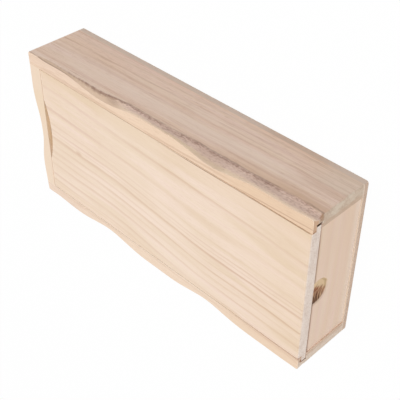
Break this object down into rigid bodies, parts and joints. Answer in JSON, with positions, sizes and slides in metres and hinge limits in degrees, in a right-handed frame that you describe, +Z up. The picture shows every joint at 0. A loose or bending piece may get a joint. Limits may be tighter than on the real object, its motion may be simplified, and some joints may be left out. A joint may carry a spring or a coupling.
{
  "type": "sliding lid wooden box",
  "caption": "Low oblong wooden keepsake box with a flat sliding lid that runs in grooves under a carved wavy rim, and a dished finger scoop under the lid at the open end.",
  "frame": {"origin": "middle of the underside, on the surface that the box rests on", "axes": "+X along the length towards the open end that the lid draws out of, +Z up through the lid, +Y towards the right side board"},
  "size_m": [0.24, 0.115, 0.046],
  "materials": {
    "side_wood": "sanded, unfinished",
    "end_wood": "sanded, unfinished",
    "base_wood": "sanded, unfinished",
    "lid_wood": "sanded, unfinished",
    "pin_steel": "bright steel"
  },
  "bodies": {
    "box": {"right_side": "side_wood", "left_side": "side_wood", "back_end": "end_wood", "front_end": "end_wood", "base": "base_wood", "base_pins": "pin_steel"},
    "lid": {"lid": "lid_wood"}
  },
  "joints": [
    {"name": "lid_slide", "type": "slide", "parent": "box", "child": "lid", "axis": [1, 0, 0], "range_m": [0, 0.236]}
  ]
}
